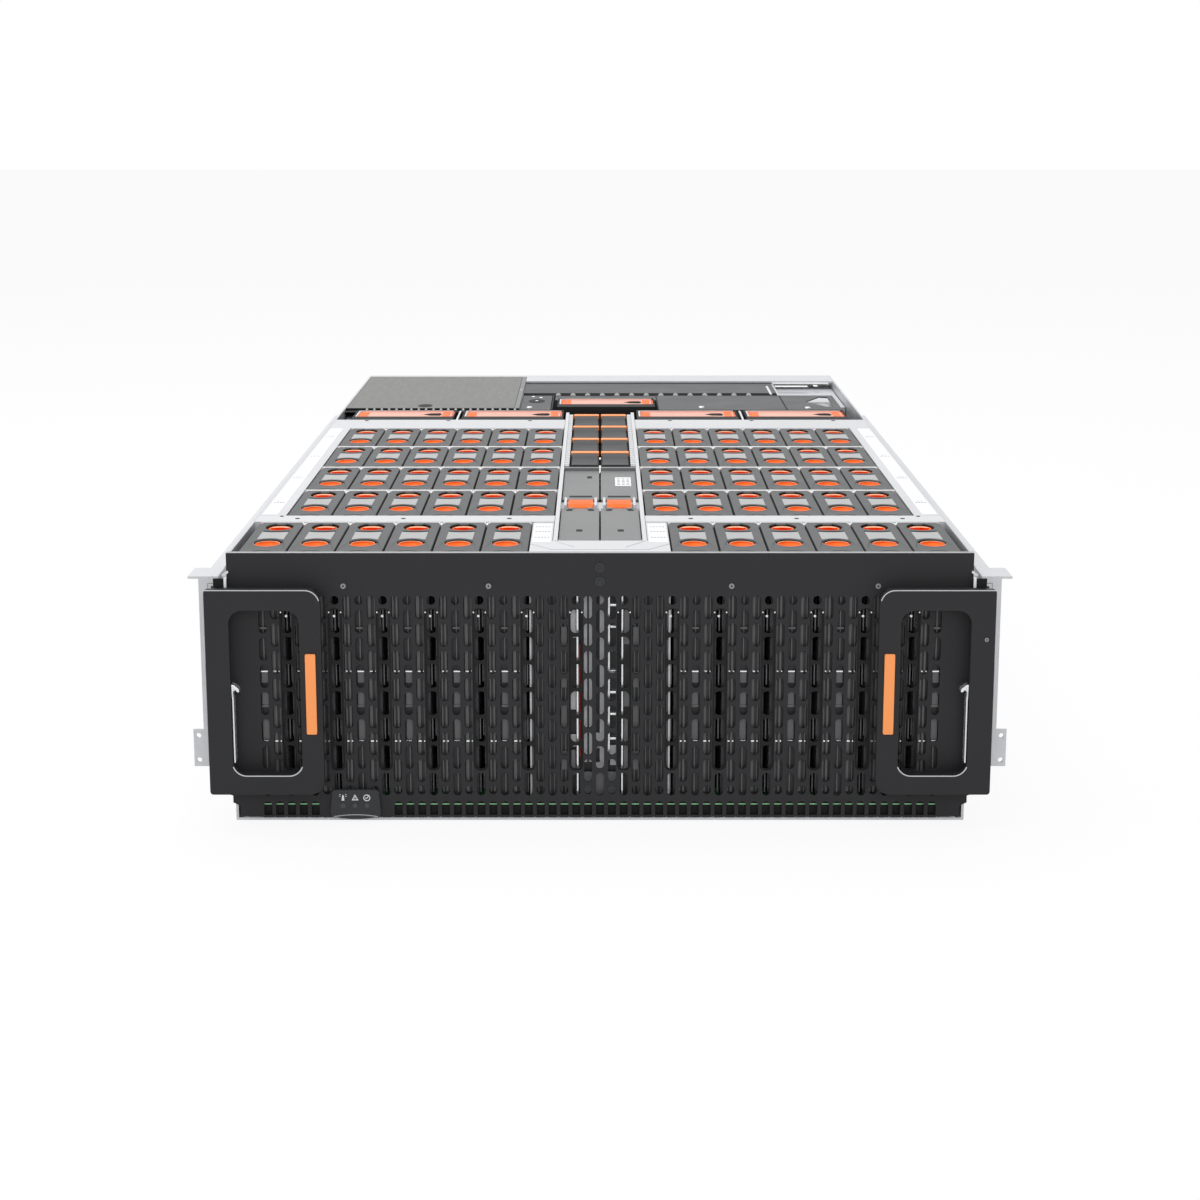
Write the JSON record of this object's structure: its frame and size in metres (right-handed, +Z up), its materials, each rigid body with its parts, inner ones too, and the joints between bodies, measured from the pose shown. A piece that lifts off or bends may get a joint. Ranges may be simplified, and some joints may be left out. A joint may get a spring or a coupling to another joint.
{
  "type": "top-loading storage array",
  "caption": "Four-unit rack storage array, covers off: upright drives in squeeze-tab carriers, solid-state centre bay, lift-out fans and telescopic slide rails.",
  "frame": {"origin": "middle of the chassis base, on the surface it rests on", "axes": "X across the front with +X at the right hand seen from the front, +Y to the rear, +Z up"},
  "size_m": [0.5114, 0.9405, 0.1715],
  "materials": {
    "galvanised": "galvanised satin",
    "black_coat": "black satin powder coat",
    "dark_plastic": "fine matt",
    "orange_plastic": "smooth",
    "grip_plastic": "gloss",
    "white_steel": "white satin",
    "module_steel": "grey satin",
    "board": "solder mask",
    "drive_case": "cast satin",
    "lens": "smoked",
    "rotor_plastic": "matt",
    "bright_steel": "bright"
  },
  "bodies": {
    "chassis": {"base_pan": "galvanised", "side_wall_left": "galvanised", "side_wall_right": "galvanised", "rear_frame": "galvanised", "rear_partitions": "galvanised", "front_bezel": "black_coat", "front_screws": "black_coat", "ear_left": "black_coat", "ear_right": "black_coat", "status_module": "dark_plastic", "status_lenses": "lens", "main_board": "board", "board_standoffs": "bright_steel", "drive_connectors": "dark_plastic", "front_divider": "galvanised", "row_partitions": "galvanised", "deck_rails": "galvanised", "fan_crossbar": "galvanised", "bay_walls": "white_steel", "side_strips": "galvanised", "bay_apron": "white_steel", "latch_bridge": "white_steel", "rear_cover": "module_steel", "baffles": "black_coat", "rear_board": "board", "vent_sheet": "module_steel", "rail_inner": "galvanised"},
    "front_drives": {"drives_front": "drive_case", "carriers_front": "dark_plastic"},
    "row_drives": {"drives_rows": "drive_case", "carriers_rows": "dark_plastic"},
    "front_drive_tabs_fore": {"tabs_fore_front": "orange_plastic"},
    "front_drive_tabs_aft": {"tabs_aft_front": "orange_plastic"},
    "row_drive_tabs_fore": {"tabs_fore_rows": "orange_plastic"},
    "row_drive_tabs_aft": {"tabs_aft_rows": "orange_plastic"},
    "front_modules": {"front_modules": "module_steel"},
    "rear_modules": {"rear_modules": "module_steel"},
    "module_latches": {"module_latches": "orange_plastic"},
    "ssd_caddies": {"ssd_carriers": "dark_plastic"},
    "ssd_levers_1": {"ssd_levers_1": "dark_plastic"},
    "ssd_levers_2": {"ssd_levers_2": "dark_plastic"},
    "ssd_levers_3": {"ssd_levers_3": "dark_plastic"},
    "ssd_levers_4": {"ssd_levers_4": "dark_plastic"},
    "front_fans": {"fan_housings": "dark_plastic", "fan_handles": "grip_plastic"},
    "rotor_1": {"fan_rotor_1": "rotor_plastic"},
    "rotor_2": {"fan_rotor_2": "rotor_plastic"},
    "rotor_3": {"fan_rotor_3": "rotor_plastic"},
    "rotor_4": {"fan_rotor_4": "rotor_plastic"},
    "rear_fan": {"rear_fan_housing": "dark_plastic", "rear_fan_handle": "grip_plastic"},
    "rear_rotor": {"rear_fan_rotor": "rotor_plastic"},
    "controllers": {"controllers": "galvanised"},
    "power_supplies": {"power_supplies": "galvanised"},
    "rail_middle": {"rail_middle": "galvanised"},
    "rail_outer": {"rail_outer": "galvanised"},
    "trigger_left": {"ear_trigger_left": "orange_plastic"},
    "trigger_right": {"ear_trigger_right": "orange_plastic"},
    "hook_left": {"ear_hook_left": "bright_steel"},
    "hook_right": {"ear_hook_right": "bright_steel"}
  },
  "joints": [
    {"name": "front_drives_lift", "type": "slide", "parent": "chassis", "child": "front_drives", "axis": [0, 0, 1], "range_m": [0, 0.165]},
    {"name": "row_drives_lift", "type": "slide", "parent": "chassis", "child": "row_drives", "axis": [0, 0, 1], "range_m": [0, 0.165]},
    {"name": "front_tabs_squeeze", "type": "slide", "parent": "front_drives", "child": "front_drive_tabs_fore", "axis": [0, 1, 0], "range_m": [0, 0.003], "stiffness_N_per_m": 600},
    {"name": "front_tabs_follow", "type": "slide", "parent": "front_drives", "child": "front_drive_tabs_aft", "axis": [0, -1, 0], "range_m": [0, 0.003]},
    {"name": "row_tabs_squeeze", "type": "slide", "parent": "row_drives", "child": "row_drive_tabs_fore", "axis": [0, 1, 0], "range_m": [0, 0.003], "stiffness_N_per_m": 1200},
    {"name": "row_tabs_follow", "type": "slide", "parent": "row_drives", "child": "row_drive_tabs_aft", "axis": [0, -1, 0], "range_m": [0, 0.003]},
    {"name": "front_modules_lift", "type": "slide", "parent": "chassis", "child": "front_modules", "axis": [0, 0, 1], "range_m": [0, 0.165]},
    {"name": "rear_modules_lift", "type": "slide", "parent": "chassis", "child": "rear_modules", "axis": [0, 0, 1], "range_m": [0, 0.165]},
    {"name": "module_latch_pivot", "type": "hinge", "parent": "chassis", "child": "module_latches", "pos_m": [0, -0.257, 0.1703], "axis": [-1, 0, 0], "range_deg": [0, 70]},
    {"name": "ssd_lift", "type": "slide", "parent": "chassis", "child": "ssd_caddies", "axis": [0, 0, 1], "range_m": [0, 0.165]},
    {"name": "ssd_lever_pivot_1", "type": "hinge", "parent": "ssd_caddies", "child": "ssd_levers_1", "pos_m": [0, -0.0496, 0.1705], "axis": [-1, 0, 0], "range_deg": [0, 60]},
    {"name": "ssd_lever_pivot_2", "type": "hinge", "parent": "ssd_caddies", "child": "ssd_levers_2", "pos_m": [0, 0.0216, 0.1705], "axis": [-1, 0, 0], "range_deg": [0, 60]},
    {"name": "ssd_lever_pivot_3", "type": "hinge", "parent": "ssd_caddies", "child": "ssd_levers_3", "pos_m": [0, 0.0928, 0.1705], "axis": [-1, 0, 0], "range_deg": [0, 60]},
    {"name": "ssd_lever_pivot_4", "type": "hinge", "parent": "ssd_caddies", "child": "ssd_levers_4", "pos_m": [0, 0.164, 0.1705], "axis": [-1, 0, 0], "range_deg": [0, 60]},
    {"name": "front_fans_lift", "type": "slide", "parent": "chassis", "child": "front_fans", "axis": [0, 0, 1], "range_m": [0, 0.17]},
    {"name": "rear_fan_lift", "type": "slide", "parent": "chassis", "child": "rear_fan", "axis": [0, 0, 1], "range_m": [0, 0.17]},
    {"name": "rotor_spin_1", "type": "hinge", "parent": "front_fans", "child": "rotor_1", "pos_m": [-0.171, 0.1715, 0.084], "axis": [0, 1, 0], "continuous": true},
    {"name": "rotor_spin_2", "type": "hinge", "parent": "front_fans", "child": "rotor_2", "pos_m": [-0.076, 0.1715, 0.084], "axis": [0, 1, 0], "continuous": true},
    {"name": "rotor_spin_3", "type": "hinge", "parent": "front_fans", "child": "rotor_3", "pos_m": [0.076, 0.1715, 0.084], "axis": [0, 1, 0], "continuous": true},
    {"name": "rotor_spin_4", "type": "hinge", "parent": "front_fans", "child": "rotor_4", "pos_m": [0.171, 0.1715, 0.084], "axis": [0, 1, 0], "continuous": true},
    {"name": "rear_rotor_spin", "type": "hinge", "parent": "rear_fan", "child": "rear_rotor", "pos_m": [0.0055, 0.2535, 0.084], "axis": [0, 1, 0], "continuous": true},
    {"name": "controllers_slide", "type": "slide", "parent": "chassis", "child": "controllers", "axis": [0, 1, 0], "range_m": [0, 0.24]},
    {"name": "power_supplies_slide", "type": "slide", "parent": "chassis", "child": "power_supplies", "axis": [0, 1, 0], "range_m": [0, 0.17]},
    {"name": "rail_outer_slide", "type": "slide", "parent": "chassis", "child": "rail_outer", "axis": [0, 1, 0], "range_m": [0, 0.6]},
    {"name": "rail_middle_slide", "type": "slide", "parent": "chassis", "child": "rail_middle", "axis": [0, 1, 0], "range_m": [0, 0.3]},
    {"name": "trigger_left_press", "type": "slide", "parent": "chassis", "child": "trigger_left", "axis": [-1, 0, 0], "range_m": [0, 0.0025], "stiffness_N_per_m": 400},
    {"name": "hook_left_release", "type": "slide", "parent": "chassis", "child": "hook_left", "axis": [1, 0, 0], "range_m": [0, 0.002]},
    {"name": "trigger_right_press", "type": "slide", "parent": "chassis", "child": "trigger_right", "axis": [1, 0, 0], "range_m": [0, 0.0025], "stiffness_N_per_m": 400},
    {"name": "hook_right_release", "type": "slide", "parent": "chassis", "child": "hook_right", "axis": [-1, 0, 0], "range_m": [0, 0.002]}
  ],
  "couplings": [
    {"joint": "front_tabs_follow", "follows": "front_tabs_squeeze", "ratio": 1},
    {"joint": "row_tabs_follow", "follows": "row_tabs_squeeze", "ratio": 1},
    {"joint": "rail_middle_slide", "follows": "rail_outer_slide", "ratio": 0.5},
    {"joint": "hook_left_release", "follows": "trigger_left_press", "ratio": 0.8},
    {"joint": "hook_right_release", "follows": "trigger_right_press", "ratio": 0.8}
  ]
}
